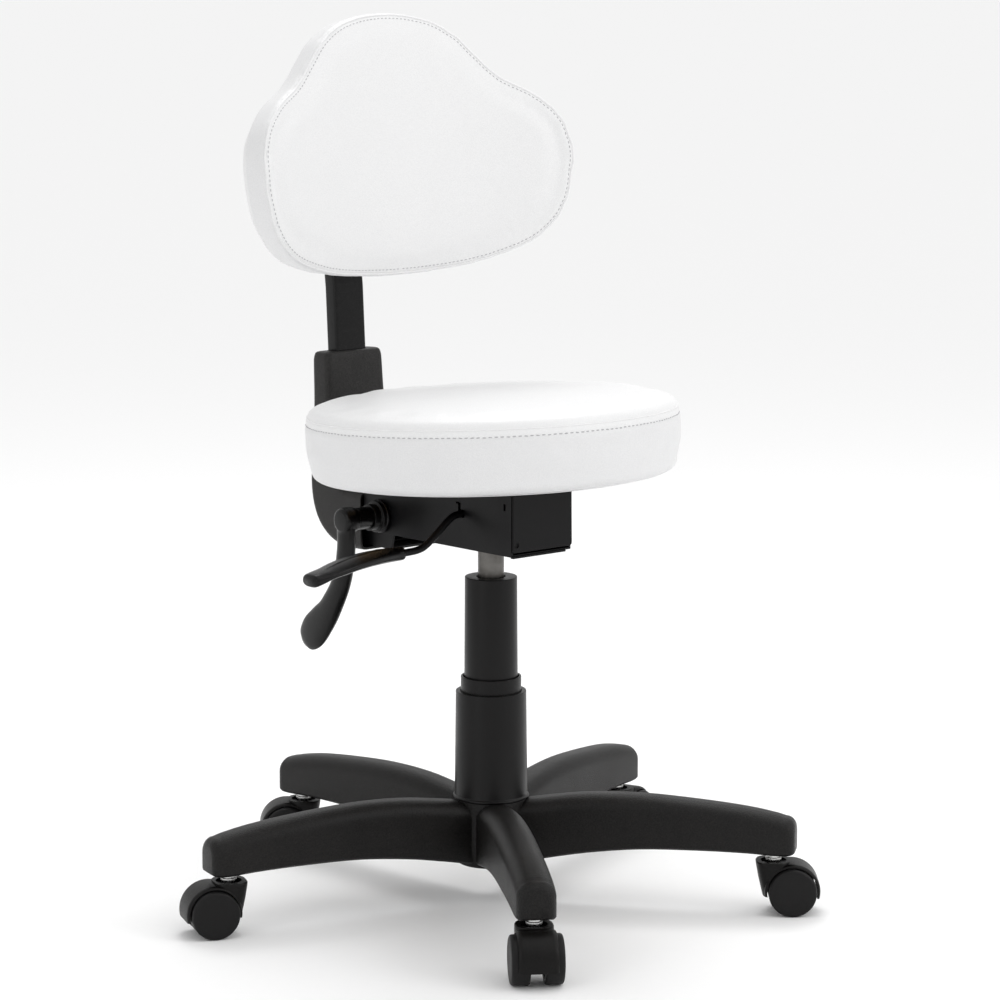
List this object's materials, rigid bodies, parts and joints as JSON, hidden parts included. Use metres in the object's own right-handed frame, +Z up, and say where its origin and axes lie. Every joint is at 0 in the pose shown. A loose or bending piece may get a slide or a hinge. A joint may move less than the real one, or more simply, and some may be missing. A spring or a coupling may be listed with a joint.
{
  "type": "pedicure stool",
  "caption": "White pedicure stool with a round tilted seat, a curved back on a tilting bar, a gas lift, a lift lever, a lock lever and a black star base on twin-wheel casters.",
  "frame": {"origin": "on the floor, under the middle of the whole stool's bounding box", "axes": "+X to the sitter's left hand seen from the front, away from the levers; -Y to the stool's front, the way a sitter faces; +Z up"},
  "size_m": [0.6716, 0.6501, 0.9243],
  "materials": {
    "nylon": "textured black",
    "plastic": "satin black",
    "tyre": "hard black caster tread",
    "coated": "satin black powder coat",
    "steel": "satin",
    "bright": "zinc plated",
    "bush": "natural bearing plastic",
    "vinyl": "white artificial leather, fine grain",
    "wood": "raw plywood"
  },
  "bodies": {
    "base": {"star_base": "nylon", "column_tube": "coated", "guide_bush": "bush", "lower_sleeve": "plastic", "middle_sleeve": "plastic", "upper_sleeve": "plastic", "thrust_washer": "bright"},
    "swivel_rod": {"piston_rod": "bright"},
    "seat_frame": {"pressure_tube": "steel", "rod_seal": "bush", "taper_socket": "steel", "mechanism_housing": "coated", "front_plate": "coated", "seat_plate": "coated", "seat_board": "wood", "seat_cushion": "vinyl", "seat_bolt_1": "bright", "seat_bolt_2": "bright", "seat_bolt_3": "bright", "seat_bolt_4": "bright", "lock_collar": "plastic", "tilt_bolt": "bright", "tilt_spring": "steel"},
    "valve": {"valve_pin": "bright"},
    "lift_lever": {"lift_lever_rod": "coated", "lift_lever_paddle": "plastic"},
    "lock_handle": {"lock_lever": "plastic"},
    "back_frame": {"tilt_bracket": "coated", "back_bar": "coated", "bar_cover": "plastic", "back_bracket": "coated", "bracket_cover": "plastic", "back_cushion": "vinyl", "back_board": "wood", "back_rear_panel": "vinyl"},
    "caster_1": {"caster_stem_1": "bright", "caster_hood_1": "plastic", "caster_axle_1": "bright"},
    "wheel_1_left": {"caster_wheel_1_left": "tyre"},
    "wheel_1_right": {"caster_wheel_1_right": "tyre"},
    "caster_2": {"caster_stem_2": "bright", "caster_hood_2": "plastic", "caster_axle_2": "bright"},
    "wheel_2_left": {"caster_wheel_2_left": "tyre"},
    "wheel_2_right": {"caster_wheel_2_right": "tyre"},
    "caster_3": {"caster_stem_3": "bright", "caster_hood_3": "plastic", "caster_axle_3": "bright"},
    "wheel_3_left": {"caster_wheel_3_left": "tyre"},
    "wheel_3_right": {"caster_wheel_3_right": "tyre"},
    "caster_4": {"caster_stem_4": "bright", "caster_hood_4": "plastic", "caster_axle_4": "bright"},
    "wheel_4_left": {"caster_wheel_4_left": "tyre"},
    "wheel_4_right": {"caster_wheel_4_right": "tyre"},
    "caster_5": {"caster_stem_5": "bright", "caster_hood_5": "plastic", "caster_axle_5": "bright"},
    "wheel_5_left": {"caster_wheel_5_left": "tyre"},
    "wheel_5_right": {"caster_wheel_5_right": "tyre"}
  },
  "joints": [
    {"name": "seat_swivel", "type": "hinge", "parent": "base", "child": "swivel_rod", "pos_m": [0.0074, -0.0187, 0.295], "axis": [0, 0, 1], "continuous": true},
    {"name": "seat_lift", "type": "slide", "parent": "swivel_rod", "child": "seat_frame", "axis": [0, 0, 1], "range_m": [-0.01, 0.115]},
    {"name": "lift_lever_hinge", "type": "hinge", "parent": "seat_frame", "child": "lift_lever", "pos_m": [-0.0326, -0.0187, 0.418], "axis": [0, 1, 0], "range_deg": [0, 7], "stiffness_Nm_per_rad": 1.2, "springref_deg": -1.72},
    {"name": "valve_pin_slide", "type": "slide", "parent": "seat_frame", "child": "valve", "axis": [0, 0, 1], "range_m": [-0.0056, 0]},
    {"name": "lock_lever_hinge", "type": "hinge", "parent": "seat_frame", "child": "lock_handle", "pos_m": [0.0074, 0.1163, 0.398], "axis": [-1, 0, 0], "range_deg": [0, 60]},
    {"name": "back_tilt", "type": "hinge", "parent": "seat_frame", "child": "back_frame", "pos_m": [0.0074, 0.1163, 0.398], "axis": [-1, 0, 0], "range_deg": [0, 15]},
    {"name": "caster_swivel_1", "type": "hinge", "parent": "base", "child": "caster_1", "pos_m": [0.20231, -0.2461, 0.07], "axis": [0, 0, 1], "continuous": true},
    {"name": "wheel_spin_1_left", "type": "hinge", "parent": "caster_1", "child": "wheel_1_left", "pos_m": [0.21697, -0.25819, 0.0252], "axis": [0.6361, 0.7716, 0], "continuous": true},
    {"name": "wheel_spin_1_right", "type": "hinge", "parent": "caster_1", "child": "wheel_1_right", "pos_m": [0.21697, -0.25819, 0.0252], "axis": [0.6361, 0.7716, 0], "continuous": true},
    {"name": "caster_swivel_2", "type": "hinge", "parent": "base", "child": "caster_2", "pos_m": [0.2839, 0.0964, 0.07], "axis": [0, 0, 1], "continuous": true},
    {"name": "wheel_spin_2_left", "type": "hinge", "parent": "caster_2", "child": "wheel_2_left", "pos_m": [0.3017, 0.10305, 0.0252], "axis": [-0.3502, 0.9367, 0], "continuous": true},
    {"name": "wheel_spin_2_right", "type": "hinge", "parent": "caster_2", "child": "wheel_2_right", "pos_m": [0.3017, 0.10305, 0.0252], "axis": [-0.3502, 0.9367, 0], "continuous": true},
    {"name": "caster_swivel_3", "type": "hinge", "parent": "base", "child": "caster_3", "pos_m": [-0.01662, 0.27984, 0.07], "axis": [0, 0, 1], "continuous": true},
    {"name": "wheel_spin_3_left", "type": "hinge", "parent": "caster_3", "child": "wheel_3_left", "pos_m": [-0.03228, 0.2906, 0.0252], "axis": [-0.5664, -0.8241, 0], "continuous": true},
    {"name": "wheel_spin_3_right", "type": "hinge", "parent": "caster_3", "child": "wheel_3_right", "pos_m": [-0.03228, 0.2906, 0.0252], "axis": [-0.5664, -0.8241, 0], "continuous": true},
    {"name": "caster_swivel_4", "type": "hinge", "parent": "base", "child": "caster_4", "pos_m": [-0.28395, 0.05071, 0.07], "axis": [0, 0, 1], "continuous": true},
    {"name": "wheel_spin_4_left", "type": "hinge", "parent": "caster_4", "child": "wheel_4_left", "pos_m": [-0.30162, 0.05767, 0.0252], "axis": [-0.3665, -0.9304, 0], "continuous": true},
    {"name": "wheel_spin_4_right", "type": "hinge", "parent": "caster_4", "child": "wheel_4_right", "pos_m": [-0.30162, 0.05767, 0.0252], "axis": [-0.3665, -0.9304, 0], "continuous": true},
    {"name": "caster_swivel_5", "type": "hinge", "parent": "base", "child": "caster_5", "pos_m": [-0.14864, -0.27434, 0.07], "axis": [0, 0, 1], "continuous": true},
    {"name": "wheel_spin_5_left", "type": "hinge", "parent": "caster_5", "child": "wheel_5_left", "pos_m": [-0.15913, -0.29018, 0.0252], "axis": [0.8339, -0.5519, 0], "continuous": true},
    {"name": "wheel_spin_5_right", "type": "hinge", "parent": "caster_5", "child": "wheel_5_right", "pos_m": [-0.15913, -0.29018, 0.0252], "axis": [0.8339, -0.5519, 0], "continuous": true}
  ],
  "couplings": [
    {"joint": "valve_pin_slide", "follows": "lift_lever_hinge", "m_per_rad": -0.043}
  ]
}
